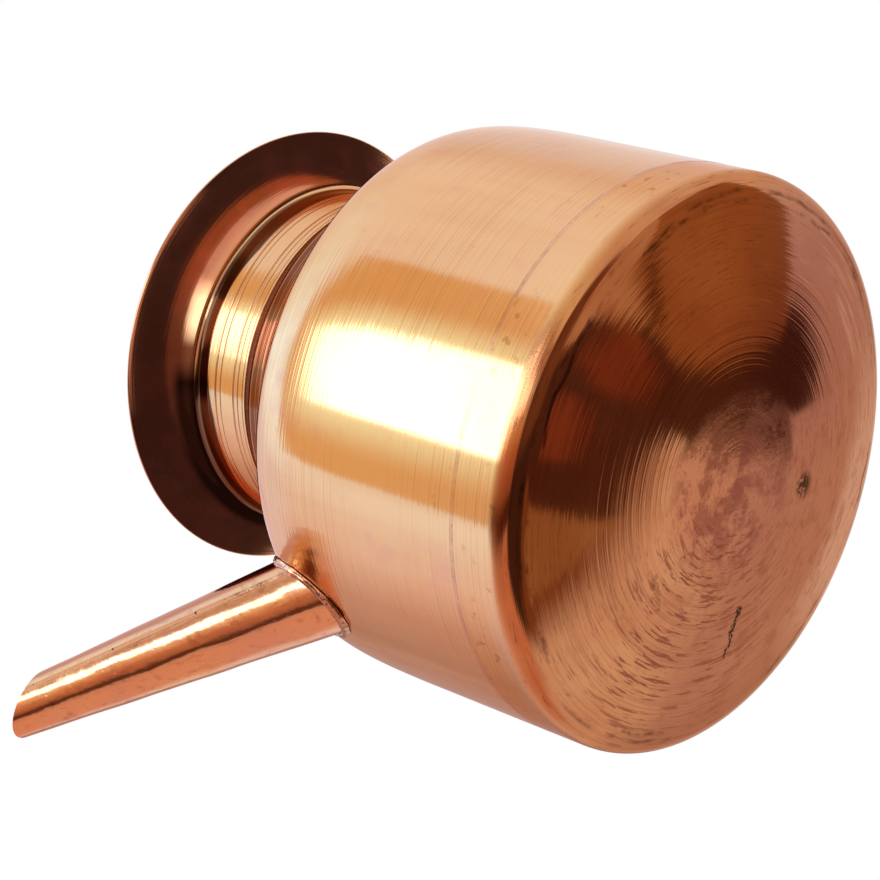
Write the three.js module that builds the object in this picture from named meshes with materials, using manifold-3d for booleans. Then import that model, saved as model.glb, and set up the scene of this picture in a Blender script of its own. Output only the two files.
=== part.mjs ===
// Copper lota (water pot) with a pouring spout: four pieces of copper sheet and four runs of braze.
// Millimetres, +Z up. The centre of the foot is the origin and the spout points to +X.

import * as THREE from "three";
import { mergeVertices } from "three/addons/utils/BufferGeometryUtils.js";
import Module from "manifold-3d";

const wasm = await Module();
wasm.setup();

// Copper sheet and the clearances of the joints
const potSheet = 0.8;
const spoutSheet = 0.7;
const lapGap = 0.1;
const seatGap = 0.3;
const brazeGap = 0.1;

// Base cup: flat foot disc, domed underside, tight corner, short wall, stepped tongue.
// The wall's spread is how much narrower it is at its foot than at the belly.
const footRadius = 17;
const domeRadius = 221;
const wallSpread = 0.4;
const cornerReach = 5.2;
const cornerRise = 4.5;
const seamHeight = 17.9;
const baseLap = 6;
const baseSeamWidth = 0.9;

// Belly shell: near-straight wall, shoulder, sweep up to a short collar
const bellyRadius = 55.2;
const wallHeight = 46.7;
const wallPull = 28;
const shoulderRadius = 44.2;
const shoulderHeight = 74.7;
const shoulderPull = 9.8;
const shoulderSlope = THREE.MathUtils.degToRad(17);
const collarRadius = 37.9;
const collarHeight = 90;

// Neck and flared mouth
const potHeight = 117.2;
const rimRadius = 46;
const flangeSlope = THREE.MathUtils.degToRad(35);
const bendRadius = 3;
const waistRadius = 35.2;
const waistPull = 6;
const neckLap = 6;
const neckBrazeRise = 1;

// Spout: rolled, tapered tube that leaves the shoulder and climbs outwards
const spoutRootHeight = 66.4;
const spoutLength = 57.5;
const spoutRise = THREE.MathUtils.degToRad(41.8);
const spoutRootRadius = 8.6;
const spoutTipRadius = 5.4;
const spoutSeamWidth = 0.9;
const spoutSeamAngle = THREE.MathUtils.degToRad(7);
const rootBrazeRadius = 1.6;

// Slant of the tip's cut, as the rise of its plane over a level run
const tipSlantShare = 0.87;
const tipSkewShare = 0.2;

// Length by which a cutting solid runs past what it cuts
const overrun = 14;

// Handle length of a cubic curve that stands for a quarter round
const quarterRoundShare = 0.5523;

// Vertices closer than this are one vertex
const sameSpot = 1e-3;

// Number of facets round each form, and steps along each curve
const turns = 64;
const spoutTurns = 36;
const brazeSides = 10;
const brazeTurns = 48;
const domeSteps = 4;
const cornerSteps = 5;
const shoulderSteps = 9;
const sweepSteps = 5;
const waistSteps = 4;
const bendSteps = 4;
const lipSteps = 4;
const halvings = 30;

const point = (radius, height) => new THREE.Vector2(radius, height);

// Points of several curves in a row, with shared ends kept once
function outline(...runs) {
  const points = [];
  for (const [curve, steps] of runs)
    for (const spot of curve.getPoints(steps))
      if (!points.length || spot.distanceTo(points.at(-1)) > sameSpot) points.push(spot);
  return points;
}

// An outline moved to the left of its run by a distance, with mitred corners
function offset(points, distance) {
  const normals = points.slice(1).map((spot, i) => {
    const run = spot.clone().sub(points[i]).normalize();
    return point(-run.y, run.x);
  });
  return points.map((spot, i) => {
    const before = normals[Math.max(i - 1, 0)];
    const after = normals[Math.min(i, normals.length - 1)];
    const mitre = before.clone().add(after).normalize();
    return spot.clone().addScaledVector(mitre, distance / mitre.dot(before));
  });
}

// Half round that closes a sheet's edge, from its outer face over to its inner face
function roundedEdge(outer, inner) {
  const middle = outer.clone().lerp(inner, 1 / 2);
  const angles = Array.from({ length: lipSteps - 1 }, (_, i) => (Math.PI * (i + 1)) / lipSteps);
  return angles.map((angle) => outer.clone().rotateAround(middle, angle));
}

// Closed section of a sheet from the outline of its outer face
function sheetSection(outer, thickness, edge = () => []) {
  const inner = offset(outer, thickness);
  return [...outer, ...edge(outer.at(-1), inner.at(-1)), ...inner.reverse()];
}

// A section turned about the upright axis; a section off the axis is closed on itself
function turned(section, facets = turns) {
  const closed = section[0].x > 0 ? [...section, section[0]] : section;
  return new THREE.LatheGeometry(closed, facets).rotateX(Math.PI / 2);
}

// An outline filled in to the axis and turned
function turnedCore(points, facets = turns) {
  return turned([point(0, points[0].y), ...points, point(0, points.at(-1).y)], facets);
}

// A closed geometry as a solid that can be joined and cut
function solid(geometry) {
  const bare = geometry.clone();
  bare.deleteAttribute("normal");
  bare.deleteAttribute("uv");
  const merged = mergeVertices(bare, sameSpot);
  const vertProperties = merged.attributes.position.array;
  const triVerts = new Uint32Array(merged.index.array);
  return new wasm.Manifold(new wasm.Mesh({ numProp: 3, vertProperties, triVerts }));
}

// A solid's faces as a geometry again
function faces(made) {
  const mesh = made.getMesh();
  const geometry = new THREE.BufferGeometry();
  geometry.setAttribute("position", new THREE.BufferAttribute(mesh.vertProperties, 3));
  geometry.setIndex(new THREE.BufferAttribute(mesh.triVerts, 1));
  geometry.computeVertexNormals();
  return geometry;
}

// Height of the domed underside over the foot at a radius
const domeHeight = (radius) =>
  Math.sqrt(domeRadius ** 2 - footRadius ** 2) - Math.sqrt(domeRadius ** 2 - radius ** 2);
const wallFootRadius = bellyRadius - wallSpread;
const cornerFootRadius = wallFootRadius - cornerReach;
const wallFoot = domeHeight(cornerFootRadius) + cornerRise;

// Outer radius of the slightly opening wall at a height
const wallRadius = (height) =>
  THREE.MathUtils.mapLinear(height, wallFoot, wallHeight, wallFootRadius, bellyRadius);

// Outer face of the base cup, from the axis out, up the wall and onto the stepped tongue
function baseOutline() {
  const domeSlope = Math.asin(cornerFootRadius / domeRadius);
  const cornerFoot = point(cornerFootRadius, domeHeight(cornerFootRadius));
  const wallStart = point(wallFootRadius, wallFoot);
  const seam = point(wallRadius(seamHeight), seamHeight);
  const tongueFoot = point(tongueRadius(), seamHeight);
  const dome = new THREE.EllipseCurve(
    0, Math.sqrt(domeRadius ** 2 - footRadius ** 2), domeRadius, domeRadius,
    -Math.PI / 2 + Math.asin(footRadius / domeRadius), -Math.PI / 2 + domeSlope,
  );
  const corner = new THREE.CubicBezierCurve(
    cornerFoot,
    cornerFoot.clone().add(point(cornerReach, 0).rotateAround(point(0, 0), domeSlope)
      .multiplyScalar(quarterRoundShare)),
    wallStart.clone().sub(point(0, cornerRise * quarterRoundShare)),
    wallStart,
  );
  return outline(
    [new THREE.LineCurve(point(0, 0), point(footRadius, 0)), 1],
    [dome, domeSteps],
    [corner, cornerSteps],
    [new THREE.LineCurve(wallStart, seam), 1],
    [new THREE.LineCurve(seam, tongueFoot), 1],
    [new THREE.LineCurve(tongueFoot, point(tongueRadius(), seamHeight + baseLap)), 1],
  );
}

// Outer radius of the tongue that stands inside the belly shell
function tongueRadius() {
  return wallRadius(seamHeight) - potSheet - lapGap;
}

// Outer face of the belly shell, from its lower edge up to the collar's edge
function bellyOutline() {
  const foot = seamHeight + baseSeamWidth;
  const wallEnd = point(bellyRadius, wallHeight);
  const shoulder = point(shoulderRadius, shoulderHeight);
  const lean = wallSpread / (wallHeight - wallFoot);
  const along = point(Math.cos(shoulderSlope), -Math.sin(shoulderSlope));
  const sweepRadius = (shoulderRadius - collarRadius) / (1 - Math.sin(shoulderSlope));
  const sweepMiddle = point(
    collarRadius + sweepRadius, shoulderHeight + sweepRadius * Math.cos(shoulderSlope),
  );
  const shoulderCurve = new THREE.CubicBezierCurve(
    wallEnd,
    wallEnd.clone().add(point(wallPull * lean, wallPull)),
    shoulder.clone().addScaledVector(along, shoulderPull),
    shoulder,
  );
  const sweep = new THREE.EllipseCurve(
    sweepMiddle.x, sweepMiddle.y, sweepRadius, sweepRadius,
    -Math.PI / 2 - shoulderSlope, -Math.PI, true,
  );
  return outline(
    [new THREE.LineCurve(point(wallRadius(foot), foot), wallEnd), 1],
    [shoulderCurve, shoulderSteps],
    [sweep, sweepSteps],
    [new THREE.LineCurve(point(collarRadius, sweepMiddle.y), point(collarRadius, collarHeight)), 1],
  );
}

// Outer face of the neck, from its foot in the collar up to the lip of the flared mouth
function neckOutline() {
  const footOuter = collarRadius - potSheet - lapGap;
  const turn = Math.PI / 2 - flangeSlope;
  const bendEnd = waistRadius + bendRadius * (1 - Math.cos(turn));
  const bendTop = potHeight - (rimRadius - bendEnd) * Math.tan(flangeSlope);
  const waistHeight = bendTop - bendRadius * Math.sin(turn);
  const seat = point(footOuter, collarHeight);
  const waist = point(waistRadius, waistHeight);
  const taper = new THREE.CubicBezierCurve(
    seat,
    seat.clone().add(point(0, waistPull)),
    waist.clone().sub(point(0, waistPull)),
    waist,
  );
  const bend = new THREE.EllipseCurve(
    waistRadius + bendRadius, waistHeight, bendRadius, bendRadius, Math.PI, Math.PI - turn, true,
  );
  return outline(
    [new THREE.LineCurve(point(footOuter, collarHeight - neckLap), seat), 1],
    [taper, waistSteps],
    [bend, bendSteps],
    [new THREE.LineCurve(point(bendEnd, bendTop), point(rimRadius, potHeight)), 1],
  );
}

// Ring of filler in the groove between the base cup's step and the belly shell's edge
function baseSeamBraze() {
  const low = seamHeight + brazeGap;
  const high = seamHeight + baseSeamWidth - brazeGap;
  return turned([
    point(wallRadius(low) - potSheet, low),
    point(wallRadius(low), low),
    point(wallRadius(high), high),
    point(wallRadius(high) - potSheet, high),
  ]);
}

// Ring of filler in the corner between the collar's edge and the neck
function neckSeamBraze() {
  const inner = collarRadius - potSheet - lapGap + brazeGap;
  const low = collarHeight + brazeGap;
  return turned([point(inner, low), point(collarRadius, low), point(inner, low + neckBrazeRise)]);
}

const bellyFace = bellyOutline();
const bellyCore = solid(turnedCore(offset(bellyFace, -seatGap)));

// Outer radius of the belly shell at a height, read from its outline
function bellyRadiusAt(height) {
  const i = bellyFace.findIndex((spot, k) => k > 0 && spot.y >= height);
  const [from, to] = [bellyFace[i - 1], bellyFace[i]];
  return THREE.MathUtils.mapLinear(height, from.y, to.y, from.x, to.x);
}

// The spout's own frame: +Z along the spout, +X to its underside, origin where it meets the belly
const spoutFrame = new THREE.Matrix4()
  .makeRotationY(Math.PI / 2 - spoutRise)
  .setPosition(bellyRadiusAt(spoutRootHeight), 0, spoutRootHeight);

// Outer radius of the spout at a distance from its root
const spoutRadius = (distance) =>
  THREE.MathUtils.mapLinear(distance, 0, spoutLength, spoutRootRadius, spoutTipRadius);

// Tapered wall between two faces of the spout, each set in from its outer face
function spoutWall(outerInset, innerInset) {
  const [low, high] = [-overrun, spoutLength + overrun];
  return solid(turned([
    point(spoutRadius(low) - outerInset, low),
    point(spoutRadius(high) - outerInset, high),
    point(spoutRadius(high) - innerInset, high),
    point(spoutRadius(low) - innerInset, low),
  ], spoutTurns));
}

// Tapered plug that fills the spout out to a face set in from its outer face
function spoutPlug(inset, high) {
  const ends = [point(spoutRadius(-overrun) - inset, -overrun), point(spoutRadius(high) - inset, high)];
  return solid(turnedCore(ends, spoutTurns));
}

// Block beyond the slanted plane of the tip's cut
function tipCutter() {
  const side = 2 * (spoutRootRadius + overrun);
  const normal = new THREE.Vector3(-tipSlantShare, tipSkewShare, 1).normalize();
  const tilt = new THREE.Quaternion().setFromUnitVectors(new THREE.Vector3(0, 0, 1), normal);
  const block = new THREE.BoxGeometry(side, side, side).translate(0, 0, side / 2);
  return solid(block.applyQuaternion(tilt).translate(0, 0, spoutLength));
}

// Slab along the spout's seam, on the side that faces +Y
function seamSlab(width) {
  const reach = spoutRootRadius + overrun;
  const length = spoutLength + 3 * overrun;
  const slab = new THREE.BoxGeometry(width, reach, length).translate(0, reach / 2, spoutLength / 2);
  return solid(slab.rotateZ(-spoutSeamAngle));
}

// The belly in the spout's frame, grown by the seat's gap
const bellyAtSpout = bellyCore.transform(spoutFrame.clone().invert().elements);

// Rolled sheet of the spout, open along its seam
function spoutTube() {
  return spoutWall(0, spoutSheet)
    .subtract(bellyAtSpout)
    .subtract(tipCutter())
    .subtract(seamSlab(spoutSeamWidth));
}

// Filler in the spout's seam
function spoutSeamBraze() {
  return spoutWall(0, spoutSheet)
    .intersect(seamSlab(spoutSeamWidth - 2 * brazeGap))
    .subtract(bellyAtSpout)
    .subtract(tipCutter());
}

// Distance along the spout at which its outer face meets the belly, at an angle round the spout
function saddleAt(angle) {
  let [inside, outside] = [-overrun, overrun];
  for (let i = 0; i < halvings; i++) {
    const middle = (inside + outside) / 2;
    const radius = spoutRadius(middle);
    const spot = new THREE.Vector3(radius * Math.cos(angle), radius * Math.sin(angle), middle);
    spot.applyMatrix4(spoutFrame);
    if (Math.hypot(spot.x, spot.y) < bellyRadiusAt(spot.z)) inside = middle;
    else outside = middle;
  }
  return inside;
}

// Round bead bent onto the saddle, then cut clear of the spout and the belly
function spoutRootBraze() {
  const bead = new THREE.TorusGeometry(spoutRootRadius, rootBrazeRadius, brazeSides, brazeTurns);
  const place = bead.attributes.position;
  for (let i = 0; i < place.count; i++) {
    const angle = Math.atan2(place.getY(i), place.getX(i));
    const saddle = saddleAt(angle);
    const grow = spoutRadius(saddle) - spoutRootRadius;
    place.setX(i, place.getX(i) + grow * Math.cos(angle));
    place.setY(i, place.getY(i) + grow * Math.sin(angle));
    place.setZ(i, place.getZ(i) + saddle);
  }
  return solid(bead).subtract(bellyAtSpout).subtract(spoutPlug(-seatGap, 2 * overrun));
}

// The belly shell with the spout's bore cut through it
function bellyShell() {
  const bore = spoutPlug(spoutSheet, overrun).transform(spoutFrame.elements);
  return faces(solid(turned(sheetSection(bellyFace, potSheet))).subtract(bore));
}

// Colour, roughness and metalness of the copper, and of the paler, duller filler
const copper = { color: 0xd9a07c, roughness: 0.25, metalness: 1 };
const filler = { color: 0xc98f74, roughness: 0.45, metalness: 1 };

const lota = new THREE.Group();

function add(name, geometry, finish) {
  const mesh = new THREE.Mesh(geometry, new THREE.MeshStandardMaterial(finish));
  mesh.name = name;
  lota.add(mesh);
  return mesh;
}

add("base_cup", turned(sheetSection(baseOutline(), potSheet)), copper);
add("belly_shell", bellyShell(), copper);
add("neck_rim", turned(sheetSection(neckOutline(), potSheet, roundedEdge)), copper);
add("base_seam_braze", baseSeamBraze(), filler);
add("neck_seam_braze", neckSeamBraze(), filler);
for (const [name, made, finish] of [
  ["spout_tube", spoutTube(), copper],
  ["spout_seam_braze", spoutSeamBraze(), filler],
  ["spout_root_braze", spoutRootBraze(), filler],
])
  add(name, faces(made), finish).applyMatrix4(spoutFrame);

export default lota;
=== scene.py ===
# %% [markdown]
# This lesson dresses a small copper water pot, a lota with a pouring spout. A spinner shapes the base,
# the belly and the neck on a lathe, a smith rolls the spout from sheet, and braze joins the four.
# The CAD model comes in first as a fixed frame. Every piece below is a finer copy of one CAD solid.

# %% The frame
import math

import bpy
import numpy as np
from mathutils import Matrix, Vector


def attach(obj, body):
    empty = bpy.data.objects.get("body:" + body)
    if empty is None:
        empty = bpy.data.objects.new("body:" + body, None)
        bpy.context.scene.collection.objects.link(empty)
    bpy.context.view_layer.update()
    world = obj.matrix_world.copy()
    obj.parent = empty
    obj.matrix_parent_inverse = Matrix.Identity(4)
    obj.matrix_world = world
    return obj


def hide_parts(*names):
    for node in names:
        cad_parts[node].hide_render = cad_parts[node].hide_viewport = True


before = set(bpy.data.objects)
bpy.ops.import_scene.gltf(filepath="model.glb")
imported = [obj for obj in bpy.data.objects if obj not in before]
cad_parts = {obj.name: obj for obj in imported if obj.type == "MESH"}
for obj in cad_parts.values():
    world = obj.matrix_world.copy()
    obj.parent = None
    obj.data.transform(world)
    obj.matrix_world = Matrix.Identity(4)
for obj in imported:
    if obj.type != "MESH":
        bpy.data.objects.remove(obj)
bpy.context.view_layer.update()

print("nodes:", ", ".join(sorted(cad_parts)))

# %% [markdown]
# The pot lies with its base towards us, so the camera looks up at the base from below the foot.
# A camera's matrix holds its right, up and back directions as columns, followed by its place. The
# numbers come from fitting a pinhole camera and the pot's outline together. Aiming the camera by eye
# would be quicker, but then no edge would lie quite where it should. A long lens keeps the near rim of
# the base from bulging.

# %% Camera
mm = 0.001
camera_turn = Matrix((
    (-0.59283, -0.70268, 0.39344),
    (-0.37711, 0.67389, 0.63534),
    (-0.71158, 0.22828, -0.66449),
))
camera_place = Vector((192.573, 292.570, -240.353)) * mm
camera_data = bpy.data.cameras.new("camera")
camera_data.sensor_width = 36
camera_data.lens = 95.52
camera_data.clip_start = 10 * mm
camera = bpy.data.objects.new("camera", camera_data)
camera.matrix_world = Matrix.Translation(camera_place) @ camera_turn.to_4x4()
bpy.context.scene.collection.objects.link(camera)
bpy.context.scene.camera = camera
bpy.context.scene.view_settings.view_transform = "Standard"
print("camera to foot:", round(camera_place.length / mm), "mm")

# %% [markdown]
# A spun form is one outline turned about the axis, so outlines come first. A point is a radius and a
# height in metres. Straight runs, cubic curves and arcs are enough for all the sheet in this pot.
# Many short steps matter here, because polished metal shows every corner of a coarse outline.

# %% Outline helpers
def spot(radius, height):
    """A point of an outline."""
    return np.array((radius, height), float)


def straight(start, end, steps):
    share = np.linspace(0, 1, steps + 1)[:, None]
    return start + (end - start) * share


def cubic(start, start_pull, end_pull, end, steps):
    """A curve between two points, drawn out towards two more as a Bezier curve is."""
    t = np.linspace(0, 1, steps + 1)[:, None]
    u = 1 - t
    return u**3 * start + 3 * u * u * t * start_pull + 3 * u * t * t * end_pull + t**3 * end


def arc(middle, radius, first, last, steps):
    angles = np.linspace(first, last, steps + 1)
    return middle + radius * np.column_stack((np.cos(angles), np.sin(angles)))


def joined(*runs):
    """Runs end to end, each without its first point, which the run before it has already."""
    return np.concatenate([runs[0], *(run[1:] for run in runs[1:])])


def normals(points):
    """Unit directions to the left of each step of an outline."""
    run = np.diff(points, axis=0)
    run /= np.linalg.norm(run, axis=1)[:, None]
    return np.column_stack((-run[:, 1], run[:, 0]))


def left_of(points):
    """Unit directions to the left of an outline's run, one for each point."""
    run = np.gradient(points, axis=0)
    run /= np.linalg.norm(run, axis=1)[:, None]
    return np.column_stack((-run[:, 1], run[:, 0]))


def inset(points, distance):
    """The outline moved to its left, with mitred corners."""
    normal = normals(points)
    before = np.concatenate((normal[:1], normal))
    after = np.concatenate((normal, normal[-1:]))
    mitre = before + after
    mitre /= np.linalg.norm(mitre, axis=1)[:, None]
    return points + mitre * (distance / np.sum(mitre * before, axis=1))[:, None]


# %% [markdown]
# The tool leaves shallow waves in the sheet as it presses the metal down. A sum of a few sines along
# the outline gives them, and only ever moves the skin inwards, so that the pot keeps its size.

# %% Tool waves
rng = np.random.default_rng(11)


def spun(points, depth, shortest, longest, count=7):
    """An outline with tool waves of a depth, between a shortest and a longest wavelength."""
    along = np.concatenate(([0], np.cumsum(np.linalg.norm(np.diff(points, axis=0), axis=1))))
    lengths = np.geomspace(shortest, longest, count)
    phases = rng.uniform(0, 2 * math.pi, count)
    wave = sum(np.sin(2 * math.pi * along / length + phase) for length, phase in zip(lengths, phases))
    wave = (wave / count + 1) / 2
    ends = np.clip(np.minimum(along, along[-1] - along) / longest, 0, 1)
    return points + left_of(points) * (wave * ends * depth)[:, None]


# %% [markdown]
# A lathe helper turns a closed section into a mesh. Blender's Screw modifier could turn it too, but its
# rings would be perfect. Here a slight out-of-round, different at each height, stops the reflections
# from looking computed. A point on the axis becomes one vertex, and the other points become rings.
# Edges sharper than 40 degrees stay crisp and the rest are smooth.

# %% Lathe helper
turns = 360
out_of_round = 0.0006
on_axis = 1e-7
crease_angle = 40


def finished(name, vertices, faces, crease=crease_angle):
    """An object with this mesh, smooth but for edges sharper than the crease, in degrees."""
    mesh = bpy.data.meshes.new(name)
    mesh.from_pydata(vertices, [], faces)
    mesh.update()
    mesh.shade_smooth()
    mesh.set_sharp_from_angle(angle=math.radians(crease))
    piece = bpy.data.objects.new(name, mesh)
    bpy.context.scene.collection.objects.link(piece)
    return piece


def turned(name, section, squeeze=0.0):
    """A closed section turned about the axis, and squeezed out of round by up to a share of its radius."""
    angles = np.linspace(0, 2 * math.pi, turns, endpoint=False)
    vertices, rings = [], []
    for radius, height in section:
        if radius < on_axis:
            rings.append([len(vertices)] * turns)
            vertices.append((0, 0, height))
            continue
        wobble = 2 + np.cos(2 * angles + 30 * height) + np.cos(3 * angles - 50 * height)
        reach = radius * (1 - squeeze * wobble / 4)
        rings.append(list(range(len(vertices), len(vertices) + turns)))
        vertices += zip(reach * np.cos(angles), reach * np.sin(angles), [height] * turns)
    faces = []
    for low, high in zip(rings, rings[1:] + rings[:1]):
        if low[0] == low[1] and high[0] == high[1]:
            continue
        for k in range(turns):
            n = (k + 1) % turns
            faces.append(list(dict.fromkeys([low[k], low[n], high[n], high[k]])))
    piece = finished(name, [tuple(map(float, v)) for v in vertices], faces)
    print(name, len(vertices), "vertices")
    return piece


# %% [markdown]
# The sizes of the sheet and of the pot are the same as in the CAD model, so each piece fits its solid.
# Only the gap beside the spout's filler is finer here, because on the real spout none shows.

# %% Sizes of the spun pieces
pot_sheet, spout_sheet = 0.8 * mm, 0.7 * mm
lap_gap, seat_gap, braze_gap = 0.1 * mm, 0.3 * mm, 0.02 * mm
foot_radius, dome_radius = 17 * mm, 221 * mm
belly_radius, wall_spread = 55.2 * mm, 0.4 * mm
corner_reach, corner_rise = 5.2 * mm, 4.5 * mm
seam_height, base_lap, base_seam_width = 17.9 * mm, 6 * mm, 0.9 * mm
wall_height, wall_pull = 46.7 * mm, 28 * mm
shoulder_radius, shoulder_height, shoulder_pull = 44.2 * mm, 74.7 * mm, 9.8 * mm
shoulder_slope = math.radians(17)
collar_radius, collar_height = 37.9 * mm, 90 * mm
quarter_round_share = 0.5523

wall_foot_radius = belly_radius - wall_spread
corner_foot_radius = wall_foot_radius - corner_reach
dome_middle = math.sqrt(dome_radius**2 - foot_radius**2)
corner_foot_height = dome_middle - math.sqrt(dome_radius**2 - corner_foot_radius**2)
wall_foot = corner_foot_height + corner_rise


def wall_radius(height):
    share = (height - wall_foot) / (wall_height - wall_foot)
    return wall_foot_radius + share * wall_spread


print("underside rises", round(corner_foot_height / mm, 1), "mm from the foot to the corner")

# %% [markdown]
# The base cup is spun last, over a short round block. The block leaves a flat disc at the middle, and
# the sheet round it springs up into a shallow dome. A step at the top of its wall makes the tongue
# that stands inside the belly shell. A flattened ball would be quicker to make, but it has neither the
# tight corner nor the flat disc, and these decide what the base mirrors.

# %% Base cup
foot_blend = 4 * mm


def base_outline():
    slope = math.asin(corner_foot_radius / dome_radius)
    first = math.asin((foot_radius + foot_blend) / dome_radius)
    dome = arc(spot(0, dome_middle), dome_radius, -math.pi / 2 + first, -math.pi / 2 + slope, 90)
    corner_end = spot(wall_foot_radius, wall_foot)
    along = spot(math.cos(slope), math.sin(slope)) * corner_reach
    corner = cubic(
        dome[-1], dome[-1] + along * quarter_round_share,
        corner_end - spot(0, corner_rise * quarter_round_share), corner_end, 28,
    )
    seam = spot(wall_radius(seam_height), seam_height)
    tongue = seam - spot(pot_sheet + lap_gap, 0)
    disc_end = spot(foot_radius - foot_blend, 0)
    soft = cubic(
        disc_end, disc_end + spot(foot_blend, 0),
        dome[0] - spot(math.cos(first), math.sin(first)) * foot_blend, dome[0], 16,
    )
    disc = joined(straight(spot(0, 0), disc_end, 20), soft)
    bottom = joined(spun(disc, 0.02 * mm, 3 * mm, 9 * mm), spun(dome, 0.018 * mm, 2.0 * mm, 14 * mm))
    return joined(
        bottom, corner, straight(corner_end, seam, 16), straight(seam, tongue, 2),
        straight(tongue, tongue + spot(0, base_lap), 4),
    )


def sheet(outer, thickness, edge=None, plain=None):
    """A closed section: the outer face, an edge, and the face inside, plainer or with half the points."""
    inner = inset(outer, thickness)[::2] if plain is None else inset(plain, thickness)
    middle = [] if edge is None else [edge(outer[-1], inner[-1])]
    return np.concatenate([outer, *middle, inner[::-1]])


base = turned("base_cup_spun", sheet(base_outline(), pot_sheet), out_of_round)

# %% [markdown]
# The belly shell is a near-straight wall, a full shoulder and a sweep up to a short collar.
# Its hole for the spout is cut after spinning, so a boolean cuts it here, after the turning.

# %% Belly shell
def belly_outline(plain=False):
    foot = seam_height + base_seam_width
    wall_end = spot(belly_radius, wall_height)
    shoulder = spot(shoulder_radius, shoulder_height)
    lean = wall_spread / (wall_height - wall_foot)
    along = spot(math.cos(shoulder_slope), -math.sin(shoulder_slope))
    sweep_radius = (shoulder_radius - collar_radius) / (1 - math.sin(shoulder_slope))
    middle = spot(collar_radius + sweep_radius, shoulder_height + sweep_radius * math.cos(shoulder_slope))
    wall = straight(spot(wall_radius(foot), foot), wall_end, 40)
    round_part = cubic(
        wall_end, wall_end + spot(wall_pull * lean, wall_pull), shoulder + along * shoulder_pull, shoulder, 70,
    )
    body = joined(wall, round_part)
    if not plain:
        body = spun(body, 0.022 * mm, 3 * mm, 17 * mm)
    sweep = arc(middle, sweep_radius, -math.pi / 2 - shoulder_slope, -math.pi, 22)
    collar_end = spot(collar_radius, collar_height)
    return joined(body, sweep, straight(sweep[-1], collar_end, 6))


belly_face = belly_outline(plain=True)
belly = turned("belly_shell_spun", sheet(belly_outline(), pot_sheet), out_of_round)

# %% [markdown]
# The neck stands in the collar, narrows in small steps to a waist, turns over a tight bend and flares
# to the lip. The steps are where the spinner's tool was set down. They could be painted on as bump, but
# they catch the light from every side, so they are cut into the outline. The lip is dressed with a
# file, so a half round closes the edge of the sheet, a little shallow so that it keeps the pot's size.

# %% Neck and mouth
pot_height, rim_radius = 117.2 * mm, 46 * mm
flange_slope = math.radians(35)
bend_radius, waist_radius, neck_lap = 3 * mm, 35.2 * mm, 6 * mm
step_top = 94.4 * mm
lip_fullness = 0.95
neck_steps = [(91.4, 36.75), (91.7, 36.45), (92.9, 36.25), (93.2, 35.75), (94.0, 35.6)]


def neck_outline(plain=False):
    foot = collar_radius - pot_sheet - lap_gap
    turn = math.pi / 2 - flange_slope
    bend_end = waist_radius + bend_radius * (1 - math.cos(turn))
    bend_top = pot_height - (rim_radius - bend_end) * math.tan(flange_slope)
    waist_height = bend_top - bend_radius * math.sin(turn)
    seat, waist = spot(foot, collar_height), spot(waist_radius, waist_height)
    steps = [spot(radius * mm, height * mm) for height, radius in neck_steps]
    steps = [seat, *steps, spot(waist_radius + 0.1 * mm, step_top)]
    rise = joined(*(straight(a, b, 3) for a, b in zip(steps, steps[1:])))
    wall = straight(steps[-1], waist, 40)
    if plain:
        rise = cubic(seat, seat + spot(0, 2 * mm), steps[-1] - spot(0, 2 * mm), steps[-1], 12)
    bend = arc(waist + spot(bend_radius, 0), bend_radius, math.pi, math.pi - turn, 16)
    flare = straight(bend[-1], spot(rim_radius, pot_height), 30)
    return joined(
        straight(spot(foot, collar_height - neck_lap), seat, 4), rise,
        wall if plain else spun(wall, 0.02 * mm, 2.4 * mm, 6 * mm),
        bend, flare if plain else spun(flare, 0.02 * mm, 2.5 * mm, 7 * mm),
    )


def dressed_edge(outer, inner):
    middle, reach = (outer + inner) / 2, (outer - inner) / 2
    angles = np.linspace(0, math.pi, 12)[1:-1]
    side = spot(-reach[1], reach[0]) * lip_fullness
    return np.array([middle + reach * math.cos(a) + side * math.sin(a) for a in angles])


neck_section = sheet(neck_outline(), pot_sheet, dressed_edge, neck_outline(plain=True))
neck = turned("neck_rim_spun", neck_section, out_of_round)

# %% [markdown]
# The spout has a frame of its own: Z runs along it, X points to its underside, and the origin is
# where its axis leaves the belly. Points are worked out there and moved to the pot at the end.

# %% Spout frame
spout_root_height, spout_length = 66.4 * mm, 57.5 * mm
spout_rise = math.radians(41.8)
spout_root_radius, spout_tip_radius = 8.6 * mm, 5.4 * mm
tip_slant_share, tip_skew_share = 0.87, 0.2
tip_dressing = 0.4 * mm
saddle_reach, saddle_halvings = 14 * mm, 26


def belly_radius_at(height):
    return np.interp(height, belly_face[:, 1], belly_face[:, 0])


spout_foot = Matrix.Translation((belly_radius_at(spout_root_height), 0, spout_root_height))
spout_frame = spout_foot @ Matrix.Rotation(math.pi / 2 - spout_rise, 4, "Y")


def polar(radius, angle, distance):
    return radius * math.cos(angle), radius * math.sin(angle), distance


def spout_radius(distance):
    return spout_root_radius + (spout_tip_radius - spout_root_radius) * distance / spout_length


def saddle_at(angle, inset_by=0.0, lift=0.0):
    """Distance along the spout at which its face, set in by a length, meets the belly, found by halving."""
    inside, outside = -saddle_reach, saddle_reach
    for _ in range(saddle_halvings):
        middle = (inside + outside) / 2
        place = spout_frame @ Vector(polar(spout_radius(middle) - inset_by, angle, middle))
        if math.hypot(place.x, place.y) < belly_radius_at(place.z) + lift:
            inside = middle
        else:
            outside = middle
    return inside


def tip_at(angle, radius):
    """Distance along the spout at which the slanted cut of its tip passes."""
    x, y = radius * math.cos(angle), radius * math.sin(angle)
    return spout_length - tip_dressing + tip_slant_share * x - tip_skew_share * y


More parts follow.
